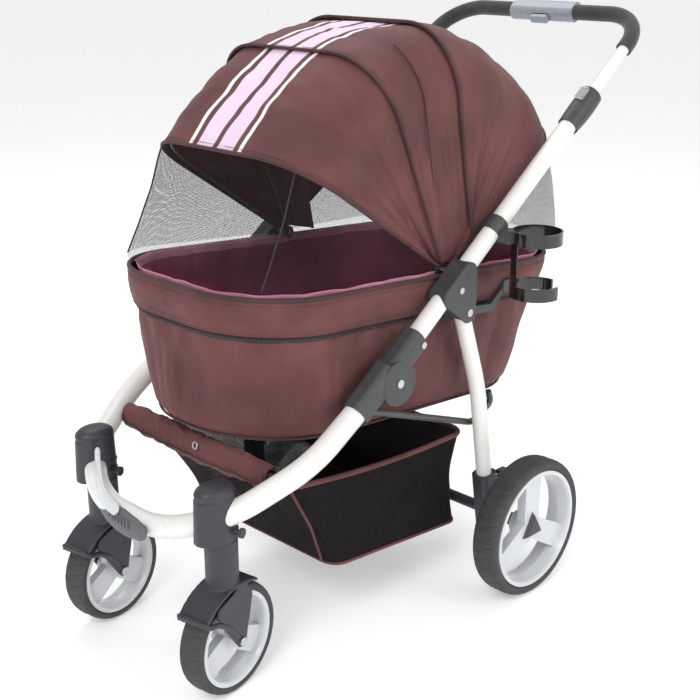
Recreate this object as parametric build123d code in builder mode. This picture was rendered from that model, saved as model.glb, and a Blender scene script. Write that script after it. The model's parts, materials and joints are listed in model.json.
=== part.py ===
"""Pet stroller: a folding four-wheel chassis with a fabric carrycot, hood and basket.

Frame: +Z up, the front of the stroller faces -Y, +X is its right-hand side seen from behind.
The origin is on the floor, under the middle of the overall box. Lengths are in millimetres.
"""
import os
from math import cos, radians, sin

from build123d import *

os.makedirs("parts", exist_ok=True)

# ---------------------------------------------------------------- driving dimensions
front_axle_y = -449.0          # places the origin under the middle of the overall box
wheelbase = 571.0
running_gap = 0.5              # clearance between pieces that move past each other
bore_gap = 0.08                # radial clearance of a shaft in its bore

front_wheel_d = 184.0
front_tyre_w = 44.0
rear_wheel_d = 254.0
rear_tyre_w = 50.0
rear_track = 608.0             # between the middles of the rear tyres
tyre_depth = 17.0
axle_d = 10.0

caster_x = 156.0
caster_trail = -8.0            # the swivel axis stands this far behind the wheel's axle
caster_turn = 9.3              # both casters stand turned by this angle
caster_d = 52.0
caster_split_z = 268.0
caster_top_z = 356.0
fork_wall = 5.0

frame_x = 228.0                # middle plane of each side tube
push_angle = 36.7              # slope of the handle side tubes
push_tube_d = 31.0
front_tube_d = 37.0
leg_tube_d = 28.0
handle_tube_d = 21.0
tube_wall = 1.6

fold_pivot = (291.0, 458.0)    # y behind the front axle, z: front frame on push frame
leg_pivot = (461.0, 537.0)     # rear legs on push frame
leg_knee = (519.0, 385.0)      # where the rear legs bend
leg_bend_r = 420.0
leg_lean = 14.0                # the feet stand this much inside the pivots
link_pivot = (243.0, 413.0)    # link bars on front frame
link_x = 198.0
link_d = 12.0
link_pin_d = 6.0
tube_point = (458.0, 602.0)    # a point on the axis of the push tubes
hinge_disc_r = 38.0
hinge_half_w = 20.0
pivot_pin_d = 8.0

collar_start = 350.0           # along the push tube from tube_point
collar_length = 83.0
handle_reach = 643.0           # along the push tube from tube_point to the handle bar
handle_bend_r = 80.0
grip_d = 29.0
console_length = 144.0
handle_travel = 90.0

cot_length = 798.0
cot_width = 404.0
cot_front = 32.0               # y of the cot's front end behind the front axle
cot_rim_z = 628.0              # rim height above the front axle, on the rim's slope
cot_rim_slope = 4.3
cot_depth = 232.0
cot_floor_length = 705.0
cot_floor_width = 372.0
cot_wall = 6.0
rim_tube_d = 8.0

hood_pivot = (450.0, 603.5)
hood_half_w = 200.0
hood_height = 390.0
hood_corner_r = 112.0
hood_skin = 2.0
mesh_reach = 412.0             # from the hood pivots to the foot of the front mesh
hood_nest = 3.5                # step between nested hood sections
brim_angle = 34.0
rib_angle = 66.0
zip_angle = 93.0
window_angle = 148.0
rear_angle = 182.0
bow_d = 5.0

crossbar = (72.0, 347.0)
crossbar_d = 16.0
sleeve_height = 46.0
sleeve_depth = 30.0

basket_width = 366.0
basket_wall = 3.0
basket_side = [(112, 318), (150, 303), (542, 284), (540, 98), (385, 106), (215, 135)]

cup_ring_d = 86.0
cup_ring_height = 22.0
cup_centre = (285.0, 586.0, 651.0)
cup_drop = 92.0
cup_wall = 3.0
cup_step = 0.8                 # the lower ring is this much tighter, and the spine this much wider


# ---------------------------------------------------------------- helpers
def at(x, y, z):
    """A point given by its distance behind the front axle."""
    return (x, front_axle_y + y, z)


push_dir = Vector(0, cos(radians(push_angle)), sin(radians(push_angle)))
push_up = Vector(0, -sin(radians(push_angle)), cos(radians(push_angle)))
push_origin = Vector(at(frame_x, *tube_point))


def on_push(along, above=0.0, x=frame_x):
    """A point in the side tube's own directions, from tube_point."""
    point = push_origin + push_dir * along + push_up * above
    return Vector(x, point.Y, point.Z)


def push_plane(along, above=0.0, x=frame_x):
    """A plane square to the push tube."""
    return Plane(origin=on_push(along, above, x), x_dir=(1, 0, 0), z_dir=push_dir)


def side_plane(x):
    """The plane at x whose own axes are world Y and Z."""
    return Plane(origin=(x, front_axle_y, 0), x_dir=(0, 1, 0), z_dir=(1, 0, 0))


def finish(piece, label):
    piece.part.label = label
    export_step(piece.part, f"parts/{label}.step")


def finish_pair(piece, label):
    """Write a right-hand piece and its mirror image across the centre plane."""
    finish(piece, label + "_right")
    with BuildPart() as opposite:
        mirror(piece.part, about=Plane.YZ)
    finish(opposite, label + "_left")


def finish_both(piece, label):
    """Write a piece and its mirror image as two separate solids of one node."""
    with BuildPart() as both:
        add(piece.part)
        mirror(piece.part, about=Plane.YZ)
    finish(both, label)


def finish_casters(piece, label):
    """Write a right-hand caster piece and its copy at the left caster, turned the same way."""
    finish(piece, label + "_right")
    with BuildPart() as opposite:
        add(piece.part.moved(Location((-2 * caster_x, 0, 0))))
    finish(opposite, label + "_left")


def bent_rod(points, bends, outer_d, inner_d=0.0):
    """A round rod or tube along straight runs joined by arcs."""
    with BuildPart() as rod:
        with BuildLine() as route:
            FilletPolyline(*points, radius=bends)
        with BuildSketch(Plane(origin=route.line @ 0, z_dir=route.line % 0)):
            Circle(outer_d / 2)
            if inner_d:
                Circle(inner_d / 2, mode=Mode.SUBTRACT)
        sweep()
    return rod.part


def side_plate(x, half_w, circles, edge=3.0):
    """A plate square to X: the hull of circles given as (y, z, radius), with eased edges."""
    with BuildPart() as plate:
        with BuildSketch(side_plane(x - half_w)):
            for y, z, radius in circles:
                with Locations((y, z)):
                    Circle(radius)
            make_hull()
        extrude(amount=2 * half_w)
        if edge:
            faces = plate.faces().filter_by(Axis.X)
            fillet(faces.edges(), edge)
    return plate.part


def cross_pin(x, y, z, d, length):
    """A round pin along X, centred on x."""
    with BuildPart() as pin:
        with BuildSketch(side_plane(x - length / 2)):
            with Locations((y, z)):
                Circle(d / 2)
        extrude(amount=length)
    return pin.part


# ---------------------------------------------------------------- wheels
def tyre(outer_d, width, depth):
    """A tyre of rounded square section about the X axis."""
    bead_r = outer_d / 2 - depth
    shoulder_r = min(depth, width / 2) * 0.72
    with BuildPart() as ring:
        with BuildSketch(Plane.XY):
            with BuildLine():
                half = width / 2
                crown = outer_d / 2
                Line((-half + 3, bead_r), (half - 3, bead_r))
                Line((half - 3, bead_r), (half, bead_r + 3))
                Line((half, bead_r + 3), (half, crown - shoulder_r))
                TangentArc((half, crown - shoulder_r), (half - shoulder_r, crown), tangent=(0, 1))
                Line((half - shoulder_r, crown), (-half + shoulder_r, crown))
                TangentArc((-half + shoulder_r, crown), (-half, crown - shoulder_r), tangent=(-1, 0))
                Line((-half, crown - shoulder_r), (-half, bead_r + 3))
                Line((-half, bead_r + 3), (-half + 3, bead_r))
            make_face()
        revolve(axis=Axis.X)
    return ring.part


def rim(tyre_bead_r, width, hub_d, hub_width, spoke_hub_w, spoke_rim_w, dish):
    """A moulded rim about the X axis with three broad dished spokes, outer face at +X."""
    ring_out = tyre_bead_r
    ring_in = tyre_bead_r - 7
    with BuildPart() as wheel:
        with BuildSketch(Plane.XY):
            with BuildLine():
                half = width / 2
                Polyline((-half, ring_in), (-half, ring_out), (half, ring_out), (half, ring_in),
                         (half - 4, ring_in - 2), (0, ring_in - 5), (-half + 4, ring_in - 2), (-half, ring_in))
            make_face()
        revolve(axis=Axis.X)
        with BuildSketch(Plane.YZ.offset(-hub_width / 2)):
            Circle(hub_d / 2)
        extrude(amount=hub_width / 2 + dish)
        with BuildSketch(Plane.YZ.offset(-6)):
            with PolarLocations(0, 3, start_angle=90):
                Polygon((0, -spoke_hub_w / 2), (ring_in - 2, -spoke_rim_w / 2),
                        (ring_in - 2, spoke_rim_w / 2), (0, spoke_hub_w / 2), align=None)
        extrude(amount=6 + dish)
        with BuildSketch(Plane.YZ.offset(-hub_width / 2 - 10)):
            Circle(axle_d / 2 + bore_gap)
        extrude(amount=hub_width + 60, mode=Mode.SUBTRACT)
    return wheel.part


def wheel_place(x, y, z, turn=0.0):
    return Location(at(x, y, z), (0, 0, turn))


front_r = front_wheel_d / 2
rear_r = rear_wheel_d / 2
rear_axle = (wheelbase, rear_r)
rear_wheel_x = rear_track / 2
front_bead_r = front_r - tyre_depth + 3
rear_bead_r = rear_r - tyre_depth - 2

front_tyre_shape = tyre(front_wheel_d, front_tyre_w, front_r - front_bead_r)
rear_tyre_shape = tyre(rear_wheel_d, rear_tyre_w, rear_r - rear_bead_r)
front_rim_shape = rim(front_bead_r, front_tyre_w - 3, 34, front_tyre_w - 4, 34, 46, 9)
rear_rim_shape = rim(rear_bead_r, rear_tyre_w - 2, 44, rear_tyre_w - 6, 40, 44, 12)

# the wheel stands ahead of the swivel by the trail, along the caster's turned direction
front_wheel_x = caster_x + caster_trail * sin(radians(caster_turn))
front_wheel_y = -caster_trail * cos(radians(caster_turn)) + caster_trail
front_place = wheel_place(front_wheel_x, front_wheel_y, front_r, caster_turn)
swivel_y = caster_trail

with BuildPart() as front_tyre:
    add(front_tyre_shape.moved(front_place))
finish_casters(front_tyre, "front_tyre")

with BuildPart() as front_rim:
    add(front_rim_shape.moved(front_place))
finish_casters(front_rim, "front_rim")

with BuildPart() as rear_tyre:
    add(rear_tyre_shape.moved(wheel_place(rear_wheel_x, *rear_axle)))
finish_pair(rear_tyre, "rear_tyre")

with BuildPart() as rear_rim:
    add(rear_rim_shape.moved(wheel_place(rear_wheel_x, *rear_axle)))
finish_pair(rear_rim, "rear_rim")

# a three-cornered dark cap over each rear hub
cap_x = rear_wheel_x + 12 + 0.1
with BuildPart() as rear_hubcap:
    with BuildSketch(side_plane(cap_x)):
        with Locations(rear_axle):
            RegularPolygon(radius=30, side_count=3, rotation=90)
    extrude(amount=8, taper=25)
    with BuildSketch(side_plane(cap_x)):
        with Locations(rear_axle):
            Circle(axle_d / 2 + 1)
    extrude(amount=4, mode=Mode.SUBTRACT)
finish_pair(rear_hubcap, "rear_hubcap")

# ---------------------------------------------------------------- casters
fork_gap = 3.0                                     # beside and above the tyre
arch_in = front_r + 4.0
arch_out = arch_in + fork_wall
fork_in = front_tyre_w / 2 + fork_gap
fork_out = fork_in + fork_wall
fender_low = 58.0              # the fender's front edge above the axle
socket_z = front_r + arch_in - 4
swivel_back = caster_trail

# the fork is drawn about the wheel's centre, then turned and placed with the wheel
with BuildPart() as fork_shape:
    with BuildSketch(Plane.YZ.offset(-fork_out)):
        Circle(arch_out)
        Circle(arch_in, mode=Mode.SUBTRACT)
        with Locations((0, fender_low - 2 * arch_out)):
            Rectangle(4 * arch_out, 4 * arch_out, mode=Mode.SUBTRACT)
        with Locations((arch_out + 42, 0)):
            Rectangle(2 * arch_out, 4 * arch_out, mode=Mode.SUBTRACT)
    extrude(amount=2 * fork_out)
    for side in (-1, 1):
        with BuildSketch(Plane.YZ.offset(side * (fork_in + fork_wall / 2) - fork_wall / 2)):
            with Locations((0, 0)):
                Circle(11)
            with Locations((4, 71)):
                Circle(24)
            with Locations((-40, 67)):
                Circle(14)
            make_hull()
        extrude(amount=fork_wall)
    with BuildSketch(Plane.XY.offset(arch_in - 2)):
        with Locations((0, swivel_back)):
            Circle(caster_d / 2)
    extrude(amount=caster_split_z - front_r - arch_in + 2 - running_gap)
    with BuildSketch(Plane.YZ):
        Circle(arch_in)
    extrude(amount=fork_in, both=True, mode=Mode.SUBTRACT)
    with BuildSketch(Plane.YZ):
        Circle(axle_d / 2)
    extrude(amount=fork_out + 5, both=True, mode=Mode.SUBTRACT)

with BuildPart() as fork:
    add(fork_shape.part.moved(front_place))
finish_casters(fork, "fork")

with BuildPart() as axle_shape:
    with BuildSketch(Plane.YZ.offset(-fork_out - 4)):
        Circle(axle_d / 2)
    extrude(amount=2 * fork_out + 8)
    with BuildSketch(Plane.YZ.offset(fork_out)):
        Circle(8)
    extrude(amount=5)
    with BuildSketch(Plane.YZ.offset(-fork_out - 5)):
        Circle(8)
    extrude(amount=5)
    fillet(axle_shape.faces().sort_by(Axis.X)[-1].edges(), 2)

with BuildPart() as front_axle_bolt:
    add(axle_shape.part.moved(front_place))
finish_casters(front_axle_bolt, "front_axle_bolt")

# ---------------------------------------------------------------- front frame
u_right = [at(frame_x, 240, 445), at(231, 112, 370), at(178, -8, 308), at(80, -64, 270)]
u_left = [(-x, y, z) for x, y, z in reversed(u_right)]
u_points = u_right + u_left
u_bends = [240, 165, 175, 175, 165, 240]

with BuildPart() as front_tube:
    add(bent_rod(u_points, u_bends, front_tube_d, front_tube_d - 2 * tube_wall))
finish(front_tube, "front_tube")
front_tube_solid = bent_rod(u_points, u_bends, front_tube_d)
front_tube_room = bent_rod(u_points, u_bends, front_tube_d + 2 * 0.3)

lock_z = caster_split_z + 14
lock_dir = Vector(1, 0.35, 0).normalized()
lock_pin_r = 5.0
lock_reach = 20.0                                  # from the swivel axis to the pin's inner end


def lock_plane(side):
    """The plane at the inner end of a swivel lock pin."""
    return Plane(origin=Vector(at(side * caster_x, swivel_y, lock_z)) + lock_dir * lock_reach, z_dir=lock_dir)


for side_name, side in (("right", 1), ("left", -1)):
    with BuildPart() as caster_housing:
        with BuildSketch(Plane(origin=at(side * caster_x, swivel_y, caster_split_z))):
            Circle(caster_d / 2 + 1)
        extrude(amount=caster_top_z - caster_split_z, taper=2)
        fillet(caster_housing.faces().sort_by(Axis.Z)[-1].edges(), 14)
        with BuildSketch(lock_plane(side).offset(-3)):
            Circle(lock_pin_r + bore_gap)
        extrude(amount=40, mode=Mode.SUBTRACT)
        add(front_tube_solid, mode=Mode.SUBTRACT)
    finish(caster_housing, "caster_housing_" + side_name)

# a sprung pin in each caster housing locks the swivel straight ahead
for side_name, side in (("right", 1), ("left", -1)):
    with BuildPart() as swivel_lock:
        with BuildSketch(lock_plane(side)):
            Circle(lock_pin_r)
        extrude(amount=caster_d / 2 + 9 - lock_reach)
        with BuildSketch(lock_plane(side).offset(caster_d / 2 + 9 - lock_reach)):
            Circle(8)
        extrude(amount=5)
    finish(swivel_lock, "swivel_lock_" + side_name)

# ribbed foot step over the left end of the front bar
with BuildPart() as foot_step:
    with BuildLine() as step_route:
        FilletPolyline(at(-152, -14, 297), at(-118, -44, 284), at(-72, -64, 270), radius=60)
    with BuildSketch(Plane(origin=step_route.line @ 0, z_dir=step_route.line % 0)):
        Circle(front_tube_d / 2 + 5)
    sweep()
    add(front_tube_solid, mode=Mode.SUBTRACT)
    with BuildSketch(Plane(origin=at(-156, swivel_y, 100))):
        Circle(caster_d / 2 + 3)
    extrude(amount=300, mode=Mode.SUBTRACT)
finish(foot_step, "foot_step")

with BuildPart() as crossbar_tube:
    add(cross_pin(0, *crossbar, crossbar_d, 2 * 230))
    with BuildSketch(side_plane(-240)):
        with Locations(crossbar):
            Circle(crossbar_d / 2 - 1.5)
    extrude(amount=480, mode=Mode.SUBTRACT)
    with BuildSketch(side_plane(206)):
        Rectangle(2000, 2000)
    extrude(amount=100, mode=Mode.SUBTRACT)
    with BuildSketch(side_plane(-306)):
        Rectangle(2000, 2000)
    extrude(amount=100, mode=Mode.SUBTRACT)
    add(front_tube_solid, mode=Mode.SUBTRACT)
finish(crossbar_tube, "crossbar")

with BuildPart() as crossbar_sleeve:
    with BuildSketch(side_plane(-184)):
        with Locations(crossbar):
            Ellipse(sleeve_depth / 2, sleeve_height / 2)
            Circle(crossbar_d / 2, mode=Mode.SUBTRACT)
    extrude(amount=2 * 184)
    add(front_tube_room, mode=Mode.SUBTRACT)
finish(crossbar_sleeve, "crossbar_sleeve")

# ---------------------------------------------------------------- fold hinges
hinge_keep = 12.0
with BuildPart() as hinge_upper:
    add(side_plate(frame_x, hinge_half_w, [(*fold_pivot, hinge_disc_r)]))
    with BuildSketch(push_plane(-222)):
        RectangleRounded(2 * hinge_half_w, 43, 14)
    extrude(amount=84)
    with BuildSketch(push_plane(-205)):
        Circle(push_tube_d / 2)
    extrude(amount=200, mode=Mode.SUBTRACT)
    add(side_plate(frame_x, hinge_keep / 2 + running_gap,
                   [(*fold_pivot, 24), (fold_pivot[0] - 60, fold_pivot[1] - 25, 26),
                    (fold_pivot[0] - 30, fold_pivot[1] - 70, 26),
                    (fold_pivot[0] + 28, fold_pivot[1] - 70, 22)], edge=0), mode=Mode.SUBTRACT)
    add(cross_pin(frame_x, *fold_pivot, pivot_pin_d, 100), mode=Mode.SUBTRACT)
finish_pair(hinge_upper, "hinge_upper")

with BuildPart() as hinge_lower:
    with BuildSketch(push_plane(-306, 6)):
        RectangleRounded(2 * hinge_half_w, 43, 14)
    extrude(amount=90)
    add(side_plate(frame_x, 60, [(*fold_pivot, hinge_disc_r + running_gap)], edge=0), mode=Mode.SUBTRACT)
    with BuildSketch(side_plane(0)):
        with Locations((fold_pivot[0] + 100, fold_pivot[1])):
            Rectangle(200, 400)
    extrude(amount=400, mode=Mode.SUBTRACT)
    add(side_plate(frame_x, hinge_keep / 2, [(*fold_pivot, 16), (fold_pivot[0] - 42, fold_pivot[1] - 22, 14)],
                   edge=0))
    add(side_plate(frame_x - hinge_half_w + 4, 4, [(*link_pivot, 9), (link_pivot[0] + 4, link_pivot[1] + 20, 12)],
                   edge=0))
    add(cross_pin(link_x + 5, *link_pivot, link_pin_d, frame_x - hinge_half_w - link_x + 5))
    add(front_tube_solid, mode=Mode.SUBTRACT)
    add(cross_pin(frame_x, *fold_pivot, pivot_pin_d + 2 * bore_gap, 100), mode=Mode.SUBTRACT)
finish_pair(hinge_lower, "hinge_lower")

# ---------------------------------------------------------------- push frame
push_start = -200.0
collar_seat = 38.0              # how far the push tube reaches into the collar
push_length = collar_start + collar_seat - push_start
with BuildPart() as push_tube:
    with BuildSketch(push_plane(push_start)):
        Circle(push_tube_d / 2)
        Circle(push_tube_d / 2 - tube_wall, mode=Mode.SUBTRACT)
    extrude(amount=push_length)
finish_pair(push_tube, "push_tube")

leg_top = Vector(at(frame_x, *leg_pivot))
leg_bend = Vector(at(frame_x - leg_lean * 0.385, *leg_knee))
leg_axle = Vector(at(frame_x - leg_lean, *rear_axle))
leg_dir = (leg_axle - leg_bend).normalized()
slot_half = leg_tube_d / 2 + 1.5                   # the leg leans inwards below its pivot
bracket_half_w = 18.5

with BuildPart() as leg_bracket:
    near = on_push(-52)
    far = on_push(4)
    add(side_plate(frame_x, bracket_half_w, [(near.Y - front_axle_y, near.Z, 18.5), (far.Y - front_axle_y, far.Z, 18.5),
                                             (*leg_pivot, 18)]))
    with BuildSketch(push_plane(-120)):
        Circle(push_tube_d / 2)
    extrude(amount=240, mode=Mode.SUBTRACT)
    add(side_plate(frame_x, slot_half, [(*leg_pivot, 17), (leg_pivot[0] - 8, leg_pivot[1] - 80, 17),
                                        (leg_pivot[0] + 90, leg_pivot[1] - 60, 17)], edge=0), mode=Mode.SUBTRACT)
    add(cross_pin(frame_x, *leg_pivot, pivot_pin_d, 100), mode=Mode.SUBTRACT)
finish_both(leg_bracket, "leg_brackets")

# pivot pins and rivets of the side frames, as one group of separate solids
pin_head = 1.5
pin_spots = [(fold_pivot, pivot_pin_d, 14, hinge_half_w), (leg_pivot, pivot_pin_d, 13, bracket_half_w)]
rivet_spots = [(on_push(-146, -7), hinge_half_w), (on_push(-29, -6), bracket_half_w)]
with BuildPart() as frame_pins:
    for spot, shank_d, head_d, half_w in pin_spots:
        for side in (-1, 1):
            add(cross_pin(side * frame_x, *spot, shank_d, 2 * half_w))
            for end in (-1, 1):
                add(cross_pin(side * frame_x + end * (half_w + pin_head / 2), *spot, head_d, pin_head))
    for spot, half_w in rivet_spots:
        for side in (-1, 1):
            add(cross_pin(side * (frame_x + half_w + pin_head / 2), spot.Y - front_axle_y, spot.Z, 11, pin_head))
finish(frame_pins, "frame_pins")

# ---------------------------------------------------------------- rear legs
leg_length = (leg_axle - leg_bend).length
foot_top = leg_length - 82.0
with BuildPart() as leg:
    leg_plane = Plane(origin=leg_bend, x_dir=(1, 0, 0), z_dir=leg_dir)
    leg_end = leg_bend + leg_dir * (leg_length - 40)
    add(bent_rod([leg_top, leg_bend, leg_end], [leg_bend_r], leg_tube_d))
    with BuildSketch(leg_plane.offset(60)):
        Circle(leg_tube_d / 2 - tube_wall)
    extrude(amount=leg_length, mode=Mode.SUBTRACT)
    with BuildSketch(side_plane(frame_x - leg_tube_d / 2)):
        with Locations(leg_pivot):
            Circle(leg_tube_d / 2)
    extrude(amount=leg_tube_d)
    add(cross_pin(frame_x, *leg_pivot, pivot_pin_d + 2 * bore_gap, 100), mode=Mode.SUBTRACT)
finish_pair(leg, "leg")

with BuildPart() as leg_foot:
    with BuildSketch(leg_plane.offset(foot_top)):
        RectangleRounded(34, 38, 9)
    extrude(amount=leg_length - foot_top + 26)
    with BuildSketch(leg_plane.offset(foot_top - 1)):
        Circle(leg_tube_d / 2)
    extrude(amount=leg_length - 40 - foot_top + 1, mode=Mode.SUBTRACT)
    add(cross_pin(frame_x, *rear_axle, axle_d, 200), mode=Mode.SUBTRACT)
finish_both(leg_foot, "leg_feet")

with BuildPart() as rear_axle_rod:
    add(cross_pin(0, *rear_axle, axle_d, 2 * (rear_wheel_x + 11)))
finish(rear_axle_rod, "rear_axle")

# loose sleeves on the rear axle: one between the feet, one outside each foot
foot_x = frame_x - 14
foot_half_w = 18.0
spacer_gap = 1.0
spacer_end = rear_wheel_x - rear_tyre_w / 2 + 3 - spacer_gap
with BuildPart() as axle_sleeves:
    add(cross_pin(0, *rear_axle, 20, 2 * (foot_x - foot_half_w)))
    for side in (-1, 1):
        middle = (foot_x + foot_half_w + spacer_gap + spacer_end) / 2
        add(cross_pin(side * middle, *rear_axle, 24, spacer_end - foot_x - foot_half_w - spacer_gap))
    add(cross_pin(0, *rear_axle, axle_d, 2 * rear_wheel_x), mode=Mode.SUBTRACT)
finish(axle_sleeves, "axle_sleeves")

# brake pedal on the right foot: a lever on its own pin behind the foot
brake_pivot = (wheelbase + 28, rear_r + 44)
with BuildPart() as brake_bracket:
    add(side_plate(foot_x, 6, [(*brake_pivot, 8), (wheelbase + 4, rear_r + 44, 12)], edge=0))
    with BuildSketch(leg_plane.offset(foot_top - 30)):
        RectangleRounded(34, 38, 9)
    extrude(amount=leg_length + 30, mode=Mode.SUBTRACT)
    add(cross_pin(foot_x, *brake_pivot, 5, 28))
finish(brake_bracket, "brake_bracket")

with BuildPart() as brake_pedal:
    for side in (-1, 1):
        add(side_plate(foot_x + side * 9.5, 3, [(*brake_pivot, 7), (brake_pivot[0] + 34, brake_pivot[1] + 4, 5)],
                       edge=0))
    with BuildSketch(side_plane(foot_x - 24)):
        with Locations((brake_pivot[0] + 38, brake_pivot[1] + 5)):
            RectangleRounded(26, 9, 4)
    extrude(amount=48)
    add(cross_pin(foot_x, *brake_pivot, 5 + 2 * bore_gap, 60), mode=Mode.SUBTRACT)
finish(brake_pedal, "brake_pedal")

# ---------------------------------------------------------------- link bars
# each bar runs from the lower hinge housing past the inside of the rear leg and hooks up behind it
with BuildPart() as link_bar:
    add(bent_rod([at(link_x, *link_pivot), at(link_x, 540, 304), at(link_x, 592, 330), at(link_x, 582, 352)],
                 [34, 12], link_d))
    add(cross_pin(link_x, *link_pivot, 18, 10))
    add(cross_pin(link_x, *link_pivot, link_pin_d + 2 * bore_gap, 40), mode=Mode.SUBTRACT)
finish_both(link_bar, "link_bars")

# ---------------------------------------------------------------- handle
handle_overlap = 150.0          # how far the handle reaches into the push tubes
with BuildPart() as handle_tube:
    start = collar_start + collar_length - handle_overlap
    add(bent_rod([on_push(start), on_push(handle_reach), on_push(handle_reach, 0, -frame_x),
                  on_push(start, 0, -frame_x)], [handle_bend_r, handle_bend_r], handle_tube_d, handle_tube_d - 3))
finish(handle_tube, "handle_tube")

grip_start = handle_reach - 92.0
with BuildPart() as grip:
    add(bent_rod([on_push(grip_start), on_push(handle_reach), on_push(handle_reach, 0, console_length / 2)],
                 [handle_bend_r], grip_d, handle_tube_d))
finish_both(grip, "grips")

console_plane = Plane(origin=on_push(handle_reach, 0, -console_length / 2), x_dir=push_dir, z_dir=(1, 0, 0))
with BuildPart() as console:
    with BuildSketch(console_plane):
        RectangleRounded(38, 32, 13)
    extrude(amount=console_length)
    with BuildSketch(console_plane):
        Circle(handle_tube_d / 2)
    extrude(amount=console_length, mode=Mode.SUBTRACT)
    with BuildSketch(Plane(origin=on_push(handle_reach - 14, 0, 0), x_dir=(1, 0, 0), z_dir=-push_dir)):
        RectangleRounded(40 + 2 * running_gap, 16 + 2 * running_gap, 4)
    extrude(amount=20, mode=Mode.SUBTRACT)
finish(console, "console")

with BuildPart() as release_button:
    with BuildSketch(Plane(origin=on_push(handle_reach - 18.5, 0, 0), x_dir=(1, 0, 0), z_dir=-push_dir)):
        RectangleRounded(40, 16, 4)
    extrude(amount=10)
    fillet(release_button.faces().sort_by(Axis.Y)[0].edges(), 2)
finish(release_button, "release_button")

# ---------------------------------------------------------------- collars
with BuildPart() as collar:
    with BuildSketch(push_plane(collar_start)):
        Circle(18.5)
    with BuildSketch(push_plane(collar_start + 45, -1.5)):
        Ellipse(20, 22)
    with BuildSketch(push_plane(collar_start + collar_length, -1.5)):
        Ellipse(19, 21)
    loft()
    with BuildSketch(push_plane(collar_start - 1)):
        Circle(push_tube_d / 2)
    extrude(amount=collar_seat + 1, mode=Mode.SUBTRACT)
    with BuildSketch(push_plane(collar_start)):
        Circle(handle_tube_d / 2 + 0.3)
    extrude(amount=200, mode=Mode.SUBTRACT)
    button_plane = Plane(origin=on_push(collar_start + 62, 12), x_dir=(1, 0, 0), z_dir=push_up)
    with BuildSketch(button_plane):
        RectangleRounded(16 + 2 * running_gap, 30 + 2 * running_gap, 4)
    extrude(amount=30, mode=Mode.SUBTRACT)
finish_both(collar, "collars")

with BuildPart() as collar_button:
    with BuildSketch(button_plane.offset(2.5)):
        RectangleRounded(16, 30, 4)
    extrude(amount=9)
    with BuildSketch(button_plane.offset(10.4)):
        with GridLocations(0, 5, 1, 5):
            Rectangle(18, 1.6)
    extrude(amount=2, mode=Mode.SUBTRACT)
finish_pair(collar_button, "collar_button")

# ---------------------------------------------------------------- cup holder
ring_r = cup_ring_d / 2
cup_x, cup_y, cup_z = cup_centre
spine_angle = 225.0
with BuildPart() as cup_holder:
    for drop in (0.0, cup_drop):
        with BuildSketch(Plane(origin=at(cup_x, cup_y, cup_z - cup_ring_height / 2 - drop))):
            Circle(ring_r)
            Circle(ring_r - cup_wall - (cup_step if drop else 0), mode=Mode.SUBTRACT)
            if drop:
                with BuildLine():
                    Polyline((0, 0), (120, 20), (120, 120), (20, 120), (0, 0))
                make_face(mode=Mode.SUBTRACT)
        extrude(amount=cup_ring_height)
    with BuildSketch(Plane(origin=at(cup_x, cup_y, cup_z - cup_drop - cup_ring_height / 2))):
        Circle(ring_r)
        Circle(ring_r - cup_wall + cup_step, mode=Mode.SUBTRACT)
        with BuildLine():
            Polyline((0, 0), (-140, -30), (-140, 140), (140, 140), (140, -140), (-30, -140), (0, 0))
        make_face(mode=Mode.SUBTRACT)
    extrude(amount=cup_drop + cup_ring_height)
finish(cup_holder, "cup_holder")

clamp_along = (cup_z + 14 - tube_point[1]) / sin(radians(push_angle))
clamp_at = on_push(clamp_along)
with BuildPart() as cup_clamp:
    with BuildSketch(push_plane(clamp_along - 14)):
        Circle(push_tube_d / 2 + 2.5)
    extrude(amount=28)
    with BuildSketch(Plane(origin=(clamp_at.X, clamp_at.Y, cup_z - 8))):
        with BuildLine():
            Polyline((10, -8), (10, 8), (40, 22), (40, -8), (10, -8))
        make_face()
    extrude(amount=22)
    with BuildSketch(push_plane(clamp_along - 80)):
        Circle(push_tube_d / 2)
    extrude(amount=160, mode=Mode.SUBTRACT)
    with BuildSketch(Plane(origin=at(cup_x, cup_y, cup_z - 60))):
        Circle(ring_r)
    extrude(amount=120, mode=Mode.SUBTRACT)
finish(cup_clamp, "cup_clamp")

# ---------------------------------------------------------------- cot
rim_normal = (0, sin(radians(cot_rim_slope)), cos(radians(cot_rim_slope)))
cot_middle_y = cot_front + cot_length / 2
cot_middle_z = cot_rim_z - cot_middle_y * sin(radians(cot_rim_slope)) / cos(radians(cot_rim_slope))
rim_plane = Plane(origin=at(0, cot_middle_y, cot_middle_z), x_dir=(1, 0, 0), z_dir=rim_normal)
floor_plane = rim_plane.offset(-cot_depth)
floor_shift = -22.0


def cot_body(inset, top, bottom):
    """The cot's tapering body, inset from its outer face, between two depths below the rim."""
    with BuildPart() as body:
        for depth in (top, bottom):
            share = depth / cot_depth
            width = cot_width + (cot_floor_width - cot_width) * share - 2 * inset
            length = cot_length + (cot_floor_length - cot_length) * share - 2 * inset
            with BuildSketch(rim_plane.offset(-depth)):
                with Locations((0, floor_shift * share)):
                    RectangleRounded(width, length, 150 - inset)
        loft()
    return body.part


with BuildPart() as cot_tub:
    add(cot_body(0, 6, cot_depth))
    add(cot_body(cot_wall, 0, cot_depth - cot_wall), mode=Mode.SUBTRACT)
finish(cot_tub, "cot_tub")

with BuildPart() as cot_rim:
    half_w = cot_width / 2 - 3
    half_l = cot_length / 2 - 3
    with BuildLine(rim_plane) as rim_route:
        FilletPolyline((half_w, -half_l), (half_w, half_l), (-half_w, half_l), (-half_w, -half_l),
                       radius=147, close=True)
    with BuildSketch(Plane(origin=rim_route.line @ 0, z_dir=rim_route.line % 0)):
        Circle(rim_tube_d / 2)
    sweep()
finish(cot_rim, "cot_rim")

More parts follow.
